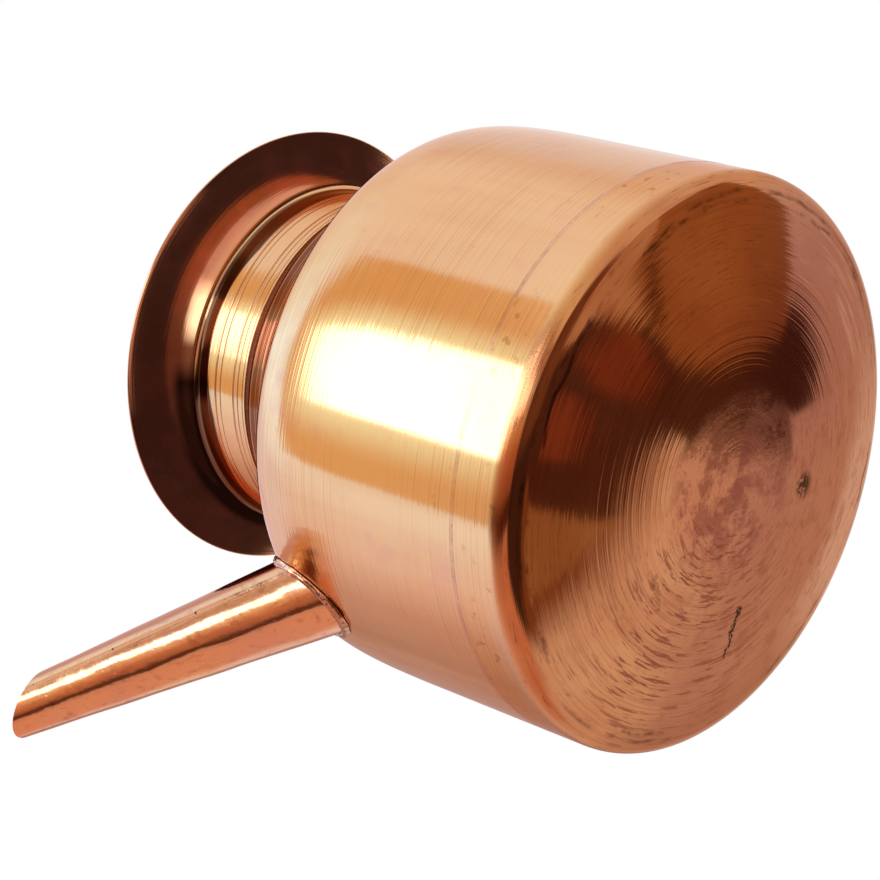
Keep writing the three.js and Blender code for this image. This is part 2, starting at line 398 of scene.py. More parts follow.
def along_spout(angle, depth, share):
    """Distance at a share of the way from the saddle to the tip, at a depth in the sheet."""
    low, high = saddle_at(angle, depth, seat_gap), tip_at(angle, spout_tip_radius - depth)
    return low + (high - low) * share


print("spout meets the belly at", round(belly_radius_at(spout_root_height) / mm, 1), "mm from the axis")

# %% [markdown]
# The spout's mesh and the strip in its seam are loops of points joined by faces. A loop runs out along
# the outer face of the sheet and back along the inner one, so one helper walks it and one joins loops.

# %% Loops and their skin
def through_sheet(count):
    """The points of one loop: each one's depth in the sheet and its number along the face."""
    return [(0.0, k) for k in range(count + 1)] + [(spout_sheet, k) for k in range(count, -1, -1)]


def skin(loops, size, closed=False):
    """Faces from each loop of points to the next, and from the last to the first where closed."""
    faces = []
    for i in range(loops if closed else loops - 1):
        here, there = i * size, (i + 1) % loops * size
        faces += [(here + k, here + (k + 1) % size, there + (k + 1) % size, there + k) for k in range(size)]
    return faces


# %% [markdown]
# The spout is beaten round a tapered rod, and the hammer leaves shallow dents all along it.
# A field of smooth bumps, worked out from a fixed set of waves, presses the skin inwards by up to
# a tenth of a millimetre, the same on both faces so that the sheet keeps its thickness. A Displace
# modifier could press them in too, but each face along its own normals. The sheet stays open along its
# seam, which a strip of braze fills.

# %% Hammered spout
spout_seam_width, spout_seam_angle = 0.9 * mm, math.radians(83)
spout_crease = 50
dent_depth, dent_fade = 0.10 * mm, 12
dent_waves = [
    (rng.uniform(0.5, 1.6) * 1000 / 9, int(rng.integers(1, 5)), rng.uniform(0, 2 * math.pi), rng.uniform(0.5, 1))
    for _ in range(16)
]


def dents(distance, angle):
    """How far the skin is pressed in at a place on the spout, from 0 to 1."""
    total = sum(
        size * math.sin(2 * math.pi * pace * distance * 0.6 + rounds * angle + phase)
        for pace, rounds, phase, size in dent_waves
    )
    return 0.5 + 0.5 * math.tanh(total / 3.2)


def spout_sheet_mesh(name, steps=150, around=128):
    vertices = []
    for i in range(steps + 1):
        share = i / steps
        fade = min(1, min(share, 1 - share) * dent_fade)
        for depth, k in through_sheet(around):
            half = (spout_seam_width / 2) / (spout_radius(spout_length * share) - depth)
            angle = spout_seam_angle + half + (2 * math.pi - 2 * half) * k / around
            distance = along_spout(angle, depth, share)
            radius = spout_radius(distance) - depth - dent_depth * dents(distance, angle) * fade
            vertices.append(polar(radius, angle, distance))
    size = 2 * (around + 1)
    faces, last = skin(steps + 1, size), steps * size
    for k in range(around):
        faces.append((k, size - 1 - k, size - 2 - k, k + 1))
        faces.append((last + k, last + k + 1, last + size - 2 - k, last + size - 1 - k))
    return finished(name, vertices, faces, spout_crease)


spout = spout_sheet_mesh("spout_rolled")
print("spout", len(spout.data.vertices), "vertices")

# %% [markdown]
# The filler in the spout's seam is a thin strip that sags a little between the two edges, with a fine
# ripple where the braze froze. A painted line would do from afar, but close up the seam is a shallow
# groove. The pits that gas leaves in it are specks of its finish.

# %% Seam filler of the spout
strip_sag, strip_ripple = 0.03 * mm, 0.02 * mm


def seam_strip(name, steps=220, across=6):
    half = spout_seam_width / 2 - braze_gap
    vertices = []
    for i in range(steps + 1):
        share = i / steps
        for depth, k in through_sheet(across):
            side = (2 * k / across - 1) * half
            angle = spout_seam_angle + side / (spout_radius(spout_length * share) - depth)
            distance = along_spout(angle, depth, share)
            ripple = abs(math.sin(distance * 2900 + 3 * math.sin(distance * 700)))
            sag = strip_sag * (1 - (side / half) ** 2) + strip_ripple * ripple
            radius = spout_radius(distance) - depth - (0 if depth else sag)
            vertices.append(polar(radius, angle, distance))
    size = 2 * (across + 1)
    faces = skin(steps + 1, size)
    faces += [tuple(range(size))[::-1], tuple(steps * size + k for k in range(size))]
    return finished(name, vertices, faces, spout_crease)


strip = seam_strip("spout_seam_filler")
print("filler", len(strip.data.vertices), "vertices")

# %% [markdown]
# A bead of braze holds the spout's root in its hole. It follows the saddle line, and it is lumpy,
# because the smith feeds it by hand and never files it. A round tube along that line would sink into
# one skin or stand off the other. So at each angle the bead is a fan of points that swings from the
# wall of the spout over to the skin of the belly.

# %% Root bead
root_braze_radius = 1.6 * mm
bead_crease = 60


def root_bead(name, around=300, fan=16):
    lumps = [(int(rng.integers(3, 24)), rng.uniform(0, 2 * math.pi), rng.uniform(0.4, 1)) for _ in range(22)]
    narrowing = (spout_tip_radius - spout_root_radius) / spout_length
    vertices = []
    for k in range(around):
        angle = 2 * math.pi * k / around
        low = saddle_at(angle, 0, 0.05 * mm)
        out = Vector((math.cos(angle), math.sin(angle), 0))
        corner = out * spout_radius(low) + Vector((0, 0, low))
        rise = (Vector((0, 0, 1)) + out * narrowing).normalized()
        world = spout_frame @ corner
        outward = Vector((world.x, world.y, 0)).normalized()
        slope = (belly_radius_at(world.z + mm) - belly_radius_at(world.z - mm)) / (2 * mm)
        normal = spout_frame.to_3x3().inverted() @ (outward - Vector((0, 0, slope))).normalized()
        away = (out - normal * out.dot(normal)).normalized()
        lump = sum(size * math.sin(rounds * angle + phase) for rounds, phase, size in lumps) / 5
        for j in range(fan + 1):
            swing = j / fan
            side = rise.slerp(away, swing) if rise.angle(away) > 0.01 else rise
            ridge = math.sin(15 * swing + 2 * math.sin(2 * angle) + lump)
            reach = root_braze_radius * (0.62 + 0.10 * math.tanh(lump) + 0.035 * ridge)
            vertices.append(corner + side * reach + normal * 0.04 * mm)
        vertices.append(corner + normal * 0.02 * mm)
    return finished(name, [tuple(v) for v in vertices], skin(around, fan + 2, closed=True), bead_crease)


bead = root_bead("spout_root_bead")
for piece in (spout, strip, bead):
    piece.data.transform(spout_frame)
print("bead", len(bead.data.vertices), "vertices")

# %% [markdown]
# Now the hole in the belly. A tapered plug as wide as the bore goes through the wall, and an exact
# boolean takes it away. The result replaces the mesh, so that no modifier and no cutter is left.

# %% Bore in the belly
def tapered_plug(low, high, inset_by, sides=72):
    vertices = [
        polar(spout_radius(distance) - inset_by, 2 * math.pi * k / sides, distance)
        for distance in (low, high) for k in range(sides)
    ]
    ends = [tuple(range(sides))[::-1], tuple(range(sides, 2 * sides))]
    plug = finished("plug", vertices, skin(2, sides) + ends)
    plug.data.transform(spout_frame)
    return plug


plug = tapered_plug(-saddle_reach, saddle_reach, spout_sheet)
cut = belly.modifiers.new("bore", "BOOLEAN")
cut.operation, cut.solver, cut.object = "DIFFERENCE", "EXACT", plug
bored = bpy.data.meshes.new_from_object(belly.evaluated_get(bpy.context.evaluated_depsgraph_get()))
belly.modifiers.clear()
belly.data = bored
bored.set_sharp_from_angle(angle=math.radians(crease_angle))
bpy.data.objects.remove(plug)
print("belly after the bore:", len(bored.vertices), "vertices")

# %% [markdown]
# Two rings of braze close the seams of the pot. They are dressed flush, but a file never gets them
# quite true, so their faces wander by a few hundredths of a millimetre. They are rings of their own
# and not painted lines, because each fills the step that a lap of the sheets leaves.

# %% Seam rings
def seam_ring(name, corners, depth, steps=3):
    """A ring through these corners, whose outer face is dressed down by up to a depth."""
    runs = [straight(a, b, steps) for a, b in zip(corners, corners[1:] + corners[:1])]
    section = joined(*runs)[:-1]
    ring = turned(name, section)
    middle = np.mean(section, axis=0)
    waves = [(int(rng.integers(5, 60)), rng.uniform(0, 2 * math.pi)) for _ in range(14)]
    for vertex in ring.data.vertices:
        angle = math.atan2(vertex.co.y, vertex.co.x)
        radius = math.hypot(vertex.co.x, vertex.co.y)
        lump = sum(math.sin(rounds * angle + phase) for rounds, phase in waves) / len(waves)
        share = depth * (0.5 + 0.5 * math.tanh(3 * lump)) / radius
        if radius > middle[0]:
            vertex.co.x *= 1 - share
            vertex.co.y *= 1 - share
    return ring


seam_clearance = 0.015 * mm
low, high = seam_height + seam_clearance, seam_height + base_seam_width - seam_clearance
base_ring = seam_ring("base_seam_ring", [
    spot(wall_radius(low) - pot_sheet, low), spot(wall_radius(low), low),
    spot(wall_radius(high), high), spot(wall_radius(high) - pot_sheet, high),
], 0.012 * mm)
inner, low = collar_radius - pot_sheet - lap_gap + seam_clearance, collar_height + seam_clearance
neck_ring = seam_ring("neck_seam_ring", [
    spot(inner, low), spot(collar_radius, low), spot(inner, low + 1 * mm),
], 0.05 * mm)

# %% [markdown]
# Shader maths reads best as plain sums. This small class wraps a socket, and its operators add the
# Math nodes, so 1 - mask or height * 3 can be written as they stand. Colours don't go through it,
# because a Math node turns them grey.

# %% Sums on sockets
class Value:
    def __init__(self, nodes, socket):
        self.nodes, self.socket = nodes, socket

    def combined(self, operation, first, second=0.0):
        return self.nodes.node("Math", {"operation": operation}, {0: first, 1: second})

    def __add__(self, other):
        return self.combined("ADD", self, other)

    def __radd__(self, other):
        return self.combined("ADD", other, self)

    def __sub__(self, other):
        return self.combined("SUBTRACT", self, other)

    def __rsub__(self, other):
        return self.combined("SUBTRACT", other, self)

    def __mul__(self, other):
        return self.combined("MULTIPLY", self, other)

    def __rmul__(self, other):
        return self.combined("MULTIPLY", other, self)

    def __truediv__(self, other):
        return self.combined("DIVIDE", self, other)

    def __pow__(self, other):
        return self.combined("POWER", self, other)

    def size(self):
        return self.combined("ABSOLUTE", self)

    def at_least(self, other):
        return self.combined("MAXIMUM", self, other)

    def at_most(self, other):
        return self.combined("MINIMUM", self, other)

    def from_to(self, low, high):
        """0 below low, 1 above high, and a smooth climb between them; falls where low is above high."""
        return self.nodes.node(
            "MapRange", {"interpolation_type": "SMOOTHSTEP"},
            {"Value": self, "From Min": low, "From Max": high, "To Min": 0.0, "To Max": 1.0},
        )


# %% [markdown]
# This class fills a node tree, of a material or of the world. One method adds any node: its kind, its
# settings, which are set first, and then the values or links of its sockets. A line of code for each
# node and link would do the same, but this pot needs some hundreds of them.

# %% Nodes
class Nodes:
    def __init__(self, owner):
        owner.use_nodes = True
        self.tree = owner.node_tree
        self.tree.nodes.clear()

    def node(self, kind, settings=None, sockets=None, out=0):
        made = self.tree.nodes.new("ShaderNode" + kind)
        for key, setting in (settings or {}).items():
            if key == "stops":
                self.set_stops(made.color_ramp, setting)
            else:
                setattr(made, key, setting)
        for key, value in (sockets or {}).items():
            if isinstance(value, Value):
                self.tree.links.new(value.socket, made.inputs[key])
            else:
                made.inputs[key].default_value = value
        return Value(self, made.outputs[out]) if len(made.outputs) else None

    def outputs(self, kind, names, sockets=None):
        """Several outputs of one node."""
        made = self.node(kind, {}, sockets).socket.node
        return [Value(self, made.outputs[name]) for name in names]

    def set_stops(self, ramp, stops):
        while len(ramp.elements) < len(stops):
            ramp.elements.new(1)
        for element, (position, colour) in zip(ramp.elements, stops):
            element.position = position
            element.color = (*colour, 1)

    def mix(self, share, first, second):
        colours = {6: first, 7: second}
        colours = {key: (*c, 1) if isinstance(c, tuple) else c for key, c in colours.items()}
        return self.node("Mix", {"data_type": "RGBA"}, {0: share, **colours}, out=2)

    def layered(self, tone, *layers):
        """A tone with other tones laid over it, each through its mask."""
        for mask, over in layers:
            tone = self.mix(mask, tone, over)
        return tone


# %% [markdown]
# A finish is a material that knows its place on the pot: x, y and z in metres, and r, the distance
# from the pot's axis. Noise is measured in metres too, so a pit or a groove gets its real size.

# %% Finishes
class Finish(Nodes):
    def __init__(self, name):
        self.material = bpy.data.materials.new(name)
        super().__init__(self.material)
        self.place = self.node("TexCoord", out="Object")
        self.x, self.y, self.z = self.outputs("SeparateXYZ", "XYZ", {0: self.place})
        self.r = (self.x * self.x + self.y * self.y) ** 0.5

    def noise(self, size, detail=2.0, rough=0.5, vector=None):
        """Noise with blobs of about a size in metres."""
        return self.node(
            "TexNoise", {"noise_dimensions": "3D"},
            {"Vector": vector or self.place, "Scale": 1 / size, "Detail": detail, "Roughness": rough},
        )

    def lines(self, across, size, detail=1.0):
        """Lines of about a width in metres, which change only with the distance across them."""
        return self.node(
            "TexNoise", {"noise_dimensions": "1D"}, {"W": across, "Scale": 1 / size, "Detail": detail},
        )

    def glow(self, colour):
        return self.node("Emission", {}, {"Color": colour, "Strength": 1.0})

    def from_front(self, shader):
        """A shader on the front of a face, and nothing on its back."""
        back = self.node("NewGeometry", out="Backfacing")
        return self.node("MixShader", {}, {0: back, 1: shader, 2: self.node("BsdfTransparent")})

    def showing(self, shader):
        """The material, now that it shows this shader."""
        self.node("OutputMaterial", {}, {"Surface": shader})
        return self.material

    def metal(self, colour, roughness, height, streak=0.0, edge=(1.0, 0.9, 0.82)):
        """Metal with a height in metres for its bump, a streak along the turning and a tint at its edges."""
        bump = self.node("Bump", {}, {"Strength": 1.0, "Distance": 1.0, "Height": height})
        return self.showing(self.node(
            "BsdfPrincipled", {}, {
                "Base Color": colour, "Roughness": roughness, "Metallic": 1.0, "Normal": bump,
                "Anisotropic": streak, "Anisotropic Rotation": 0.25, "Specular Tint": (*edge, 1),
            },
        ))


def wear(piece, material):
    piece.data.materials.clear()
    piece.data.materials.append(material)
    print(piece.name, "wears", material.name, "with", len(material.node_tree.nodes), "nodes")


# %% [markdown]
# Every spun piece has hair-fine lines from the tool, about a millimetre apart or less. They could be
# cut into the mesh, but that takes millions of faces. So they are a bump a few thousandths of a
# millimetre high, which shows as the serrated edge of each reflection, and a faint mask of tone.

# %% Tool lines
spun_streak = 0.35


def groove_height(f, across, depth):
    wide = f.lines(across, 0.85 * mm, 2.0)
    fine = f.lines(across + 0.4, 0.34 * mm, 1.0)
    drift = f.noise(16 * mm)
    return (wide * 0.7 + fine * 0.3) * (0.5 + drift) * depth


def tool_lines(f, across, size):
    """Thin lines along the turning, as a mask that comes and goes round the pot."""
    thin = f.lines(across, size, 2.0).from_to(0.50, 0.68)
    return thin * f.noise(22 * mm, 2.0).from_to(0.30, 0.62)


def azimuth_of(f):
    """The direction round the pot, in degrees, with 0 at the spout."""
    return f.node("Math", {"operation": "ARCTAN2"}, {0: f.y, 1: f.x}) * (180 / math.pi)


# %% [markdown]
# Polished copper is cream where it catches white and falls to orange and red-brown in shade. Blushes
# of pink come from the pickle that cleaned it, and a warm tint round the spout's root from the torch.
# Painted shade darkens the corner at the foot of the collar.

# %% Belly copper
cream_copper, warm_copper, pink_copper = (0.80, 0.46, 0.25), (0.79, 0.43, 0.22), (0.76, 0.37, 0.25)
line_copper, heat_tint, red_blush = (0.62, 0.31, 0.15), (0.80, 0.30, 0.12), (0.72, 0.28, 0.20)
# The two step colours are painted shade, with paler painted lines, for the corner where neck and belly meet.
step_shade, step_line = (0.17, 0.045, 0.02), (0.42, 0.14, 0.08)


def polished(f, clouds=26 * mm):
    """Cream and warm copper, in soft clouds of about a size."""
    return f.mix(f.noise(clouds).from_to(0.35, 0.65), cream_copper, warm_copper)


def stepped_tone(f):
    """Painted shade with finer, paler painted lines, in the corner where the neck meets the belly."""
    return f.mix(f.lines(f.z, 0.5 * mm, 1.0).from_to(0.50, 0.60), step_shade, step_line)


def belly_copper():
    f = Finish("belly_copper")
    across = f.z - f.r + f.noise(40 * mm) * (0.5 * mm)
    root = ((f.x - 51 * mm) ** 2.0 + f.y ** 2.0 + (f.z - 70 * mm) ** 2.0) ** 0.5
    heat = (root + f.noise(5 * mm, 2.0) * (5 * mm)).from_to(17 * mm, 11 * mm)
    # The collar mask lays painted shade in the corner at the collar's foot.
    collar = f.z.from_to(83.5 * mm, 85.5 * mm)
    tone = f.layered(
        polished(f),
        (tool_lines(f, across, 0.55 * mm) * 0.55, line_copper),
        (tool_lines(f, across + 0.7, 0.30 * mm) * 0.30, line_copper),
        (f.noise(9 * mm, 4.0, 0.6).from_to(0.55, 0.72) * 0.5, pink_copper),
        (f.noise(5 * mm, 4.0, 0.65).from_to(0.63, 0.73) * 0.5, red_blush),
        (collar * 0.95, stepped_tone(f)),
        (heat * 0.55, heat_tint),
    )
    long_way = f.node("VectorMath", {"operation": "MULTIPLY"}, {0: f.place, 1: (1, 1, 0.06)})
    scratches = f.noise(0.35 * mm, 1.0, vector=long_way)
    roughness = 0.05 + f.noise(12 * mm) * 0.04 + f.lines(across, 0.7 * mm) * 0.03
    height = groove_height(f, across, 0.021 * mm) + scratches * (0.0003 * mm)
    return f.metal(tone, roughness, height, spun_streak)


wear(belly, belly_copper())

# %% [markdown]
# The base is the oldest-looking part. First come two kinds of place that its marks need: a round patch,
# and a ragged hairline crack in the polish. Painting them by hand on an image would be the usual way,
# but a mask worked out from the place needs no image and has no edge where it stops.

# %% Places on the underside
base_tone, base_pale, tarnish = (0.54, 0.20, 0.085), (0.61, 0.255, 0.112), (0.32, 0.105, 0.055)
purple_tint, purple_stain, old_stain = (0.52, 0.175, 0.092), (0.28, 0.068, 0.040), (0.25, 0.07, 0.04)
aged_tone, worn_pale, rubbed_edge = (0.34, 0.115, 0.075), (0.62, 0.33, 0.215), (0.72, 0.50, 0.34)
dark_fleck, pit_black = (0.13, 0.045, 0.03), (0.035, 0.014, 0.010)


def patch(f, x, y, reach):
    """A round mask at a place on the underside, given in millimetres."""
    away = ((f.x - x * mm) ** 2.0 + (f.y - y * mm) ** 2.0) ** 0.5
    return away.from_to(reach * mm, reach * 0.35 * mm)


def crack_mask(f, start, end):
    """A ragged hairline between two places on the underside, given in millimetres."""
    start, end = np.array(start) * mm, np.array(end) * mm
    length = float(np.linalg.norm(end - start))
    ux, uy = (end - start) / length
    dx, dy = f.x - float(start[0]), f.y - float(start[1])
    along = dx * float(ux) + dy * float(uy)
    off = dy * float(ux) - dx * float(uy) + (f.noise(2.4 * mm, 4.0, 0.65) - 0.5) * (5.0 * mm)
    inside = along.from_to(0.0, 0.6 * mm) * along.from_to(length, length - 0.6 * mm)
    return off.size().from_to(0.75 * mm, 0.30 * mm) * inside * f.noise(0.8 * mm, 3.0).from_to(0.38, 0.46)


# %% [markdown]
# The cup's short wall is polished like the belly, with a few spots. Its underside keeps the coarse
# grooves of the roughing tool and a browner tone, because nobody buffs what stands on the table. The
# corner between them is darker in two broken lines.

# %% Cup wall, bottom and corner
def cup_wall(f, across):
    spots = f.noise(2.6 * mm, 3.0, 0.6).from_to(0.60, 0.68) * f.noise(24 * mm).from_to(0.4, 0.6)
    return f.layered(
        polished(f), (tool_lines(f, across, 0.5 * mm) * 0.5, line_copper), (spots * 0.45, tarnish),
    )


def cup_bottom(f, across, disc):
    return f.layered(
        f.mix(f.noise(14 * mm, 3.0).from_to(0.35, 0.7), base_tone, base_pale),
        (tool_lines(f, across, 0.5 * mm) * 0.40 * (1 - disc), tarnish),
        (tool_lines(f, across + 0.3, 1.4 * mm) * 0.35 * (1 - disc), tarnish),
    )


# Two broken darker lines along the corner.
def worn_corner(f):
    corner = 0
    for reach, blob in ((49.9, 8 * mm), (51.4, 13 * mm)):
        wander = (f.noise(blob, 3.0) - 0.5) * (3.2 * mm)
        worn = f.noise(blob * 1.7, 4.0, 0.65).from_to(0.47, 0.62)
        corner = (f.r - reach * mm + wander).size().from_to(0.65 * mm, 0.10 * mm) * worn + corner
    return corner * f.z.from_to(11 * mm, 9 * mm)


# %% [markdown]
# Tarnish mottles the ungrooved disc in the middle, and flecks of it follow the grooves, because polish
# skips the low places. One side has aged darker and its rim has worn pale. A pit and a crack mark the
# lower side. Each is one mask, and they are laid over the copper from the broad to the small.

# %% Base copper
def base_copper():
    f = Finish("base_copper")
    underside = f.z.from_to(10 * mm, 7 * mm)
    across = f.z * (1 - underside) + f.r * underside
    turning = f.node("CombineXYZ", {}, {
        0: f.x / (f.r + 1 * mm) * (9 * mm), 1: f.y / (f.r + 1 * mm) * (9 * mm), 2: f.r * 3,
    })
    disc = (f.r + f.noise(4 * mm) * (4 * mm)).from_to(22 * mm, 16.5 * mm) * underside
    stained = f.noise(7 * mm, 5.0, 0.68).from_to(0.43, 0.57) * disc
    lower = patch(f, 24, -18, 36) * f.noise(2.3 * mm, 4.0, 0.65, vector=turning).from_to(0.535, 0.60)
    side = patch(f, -24, -26, 38) * f.noise(1.4 * mm, 4.0, 0.65, vector=turning).from_to(0.54, 0.64)
    bruise = f.noise(6 * mm, 5.0, 0.66).from_to(0.49, 0.64) * patch(f, -6, -25, 46)
    aged = f.x * -0.55 - f.y * 0.83 + f.noise(9 * mm, 4.0, 0.6) * (22 * mm)
    aged = aged.from_to(-4 * mm, 26 * mm) * underside
    flecks = f.noise(0.9 * mm, 2.0, 0.6, vector=turning).from_to(0.60, 0.70) * underside
    azimuth = azimuth_of(f)
    rubbed = f.z.from_to(13 * mm, 10 * mm) * f.z.from_to(6.5 * mm, 8.5 * mm)
    rubbed = rubbed * azimuth.from_to(24, 8) * azimuth.from_to(-85, -65)
    rim = (f.r + f.noise(12 * mm, 3.0) * (8 * mm)).from_to(41 * mm, 48 * mm)
    dull = patch(f, -37, 4, 36) * f.noise(5 * mm, 4.0, 0.6, vector=turning).from_to(0.22, 0.50)
    low_rim = f.x * 0.5 - f.y * 0.87 + f.noise(10 * mm, 3.0) * (8 * mm)
    low_rim = low_rim.from_to(42 * mm, 56 * mm) * underside
    pits = patch(f, -14.4, -17.4, 3.4) * f.noise(0.9 * mm, 3.0).from_to(0.40, 0.47)
    crack = crack_mask(f, (10.6, -24.4), (18.7, -32.0)) + crack_mask(f, (24.5, 1.0), (27.5, -7.0)) * 0.3
    tone = f.layered(
        f.mix(underside, cup_wall(f, across), cup_bottom(f, across, disc)),
        (rubbed * 0.5, rubbed_edge),
        (disc * 0.55, purple_tint),
        (stained * 0.74, purple_stain),
        (aged * 0.66, aged_tone),
        (rim * aged * f.x.from_to(8 * mm, -16 * mm) * 0.75, worn_pale),
        (dull * 0.9, aged_tone),
        (low_rim * 0.55, tarnish),
        (bruise * 0.5, purple_stain),
        ((lower * 0.95 + side * 0.75).at_most(0.95), old_stain),
        (flecks * 0.55, old_stain),
        (worn_corner(f) * 0.85, dark_fleck),
        ((pits + crack).at_most(1), pit_black),
    )
    roughness = 0.065 + f.noise(10 * mm) * 0.04 + stained * 0.08 + lower * 0.08 + disc * 0.03
    grooves = groove_height(f, across, 0.023 * mm) * (1 - disc * 0.7)
    marks = f.noise(0.8 * mm, 2.0) * disc * (0.006 * mm) - (pits + crack) * (0.05 * mm)
    wall_grooves = groove_height(f, across, 0.016 * mm) * (1 - underside)
    height = (grooves + marks) * underside + wall_grooves
    return f.metal(tone, roughness, height, spun_streak, edge=(0.9, 0.66, 0.54))


wear(base, base_copper())

# %% [markdown]
# The neck has the same copper with heavier tool lines, which the spinner cut to mark the waist, and
# painted shade in the corner at its foot. The underside of the flare is less polished, and painted
# shade darkens it. The bend under it has the darkest painted shade, deeper still on the side of the
# softbox, where the metal would outshine it. Below the bend the bump leans the metal by a degree or
# two, as a hand-held tool leaves it, and so the softbox's reflection falls where the photograph has it.

# %% Neck copper
# The three colours below are painted shade, for the flare's underside and the bend under it.
flare_tone, flare_red, bend_shade = (0.52, 0.23, 0.135), (0.76, 0.29, 0.19), (0.145, 0.072, 0.048)
neck_lines = [(103.4, 0.30), (101.9, 0.16), (97.9, 0.34), (96.6, 0.20), (95.2, 0.14)]
softbox_side, softbox_share = 57, 0.33


def grimed(f, tone):
    """A painted shade, deeper still on the side of the softbox, where the metal would outshine it."""
    near = (azimuth_of(f) - softbox_side).size().from_to(27, 20)
    return f.mix(near, tone, tuple(softbox_share * c for c in tone))


def bend_mask(f, azimuth):
    """Painted shade in the bend under the flare, whose lower edge sags away from the softbox's side."""
    start = 106.2 * mm - (((azimuth - 55) * (1 / 30)) ** 2.0).at_most(1) * (1.8 * mm)
    bend = (f.z - start).from_to(-0.15 * mm, 0.25 * mm)
    return bend * f.z.from_to(109.4 * mm, 108.95 * mm) * f.r.from_to(36.6 * mm, 35.9 * mm)


def neck_copper():
    f = Finish("neck_copper")
    across = f.z + f.r
    line = 0
    for place, reach in neck_lines:
        line = (f.z - place * mm).size().from_to(reach * mm, reach * 0.4 * mm) + line
    # Painted shade on the underside of the flare, in a brown and a red tone.
    flare = f.z.from_to(109.5 * mm, 111 * mm) * f.r.from_to(36 * mm, 38 * mm)
    azimuth = azimuth_of(f)
    # Painted shade also on the crease, on the side away from the softbox.
    crease = f.z.from_to(108.2 * mm, 108.8 * mm) * f.z.from_to(112.6 * mm, 111.4 * mm)
    crease = crease * azimuth.from_to(44, 34)
    # Painted shade on the steps at the neck's foot.
    steps = f.z.from_to(94.4 * mm, 94.1 * mm) * f.z.from_to(90.2 * mm, 90.5 * mm)
    tone = f.layered(
        polished(f, 20 * mm),
        (tool_lines(f, across, 0.45 * mm) * 0.38, line_copper),
        (line * f.noise(15 * mm).from_to(0.2, 0.6) * 0.75, tarnish),
        (flare * 0.7, f.mix(f.noise(11 * mm, 4.0, 0.6).from_to(0.4, 0.65), flare_tone, flare_red)),
        ((bend_mask(f, azimuth) + crease).at_most(0.97), grimed(f, bend_shade)),
        (steps, stepped_tone(f)),
    )
    roughness = 0.07 + f.noise(11 * mm) * 0.06 + steps * 0.12 + line * 0.08 + flare * 0.04
    leaning = f.z.at_most(106 * mm) * 0.03
    height = groove_height(f, across, 0.016 * mm) - line * (0.02 * mm) + leaning
    return f.metal(tone, roughness, height, spun_streak, edge=(0.8, 0.5, 0.38))


wear(neck, neck_copper())

# %% [markdown]
# The spout was annealed to roll it, so its copper is pinker, and the hammered skin was only buffed.
# Its lines run along it, in the direction of the buffing wheel, so the noise for them is stretched
# that way. Its top, which faces the neck, is darkened with painted shade.

# %% Spout copper
buffed_copper, annealed_copper = (0.78, 0.42, 0.24), (0.74, 0.39, 0.27)
# The first colour below is painted shade for the spout's top.
spout_shade, tip_blush = (0.50, 0.17, 0.11), (0.80, 0.33, 0.20)


def spout_copper():
    f = Finish("spout_copper")
    reach = f.x * math.cos(spout_rise) + f.z * math.sin(spout_rise)
    side = f.z * math.cos(spout_rise) - f.x * math.sin(spout_rise)
    long_way = f.node("CombineXYZ", {}, {0: reach * 0.3, 1: f.y, 2: side})
    streaks = f.noise(1.1 * mm, 3.0, 0.6, vector=long_way)
    # Painted shade along the top of the spout, which faces the neck.
    upper = (side + streaks * (0.8 * mm)).from_to(13.8 * mm, 15.2 * mm)
    tone = f.layered(
        f.mix(f.noise(12 * mm).from_to(0.35, 0.65), buffed_copper, annealed_copper),
        (f.noise(2.2 * mm, 3.0).from_to(0.55, 0.75) * 0.4, tarnish),
        (reach.from_to(138 * mm, 146 * mm) * 0.35, tip_blush),
        (streaks.from_to(0.56, 0.66) * 0.2, tarnish),
        (upper * 0.85, spout_shade),
    )
    pits = f.noise(0.9 * mm, 2.0).from_to(0.70, 0.76)
    roughness = 0.09 + f.noise(7 * mm) * 0.07
    dimples = f.noise(2.6 * mm, 2.0) * (0.045 * mm) + f.noise(3 * mm, vector=long_way) * (0.10 * mm)
    return f.metal(tone, roughness, dimples - pits * (0.02 * mm))


wear(spout, spout_copper())

# %% [markdown]
# Braze is a copper alloy too, a little pinker on the seams of the pot, where it was dressed and
# polished with the sheet. On the spout it was left rough: pale where it was brushed and dark with flux
# in its hollows. The bead at the root is darker towards its low side.

# %% Braze
seam_pink, bead_pale, bead_brown = (0.77, 0.40, 0.245), (0.80, 0.50, 0.37), (0.62, 0.33, 0.22)
filler_copper, bead_shade = (0.74, 0.40, 0.26), (0.32, 0.13, 0.08)


def seam_braze():
    f = Finish("seam_braze")
    speck = f.noise(0.9 * mm, 3.0, 0.6).from_to(0.52, 0.62)
    clouds = f.noise(4 * mm, 2.0).from_to(0.3, 0.7)
    tone = f.layered(f.mix(clouds, seam_pink, tuple(0.8 * c for c in seam_pink)), (speck * 0.10, dark_fleck))
    return f.metal(tone, 0.08 + speck * 0.15, f.noise(1.1 * mm, 3.0) * (0.003 * mm), spun_streak)


def spout_braze():
    f = Finish("spout_braze")
    at_root = f.r.from_to(66 * mm, 63 * mm)
    filler = f.mix(f.noise(1.3 * mm, 3.0).from_to(0.62, 0.68), filler_copper, dark_fleck)
    bead_tone = f.layered(
        f.mix(f.noise(2.2 * mm, 3.0).from_to(0.4, 0.6), bead_pale, bead_brown),
        # The bead is darker towards the bottom.
        (f.z.from_to(69 * mm, 58 * mm) * 0.5, bead_shade),
        (f.noise(0.8 * mm, 3.0, 0.6).from_to(0.56, 0.64) * 0.8, dark_fleck),
    )
    height = f.noise(0.9 * mm, 2.0) * at_root * (0.12 * mm) + f.noise(2 * mm) * (0.02 * mm)
    return f.metal(f.mix(at_root, filler, bead_tone), 0.16 + f.noise(3 * mm) * 0.12, height)


for material, worn_by in ((seam_braze(), (base_ring, neck_ring)), (spout_braze(), (strip, bead))):
    for piece in worn_by:
        wear(piece, material)
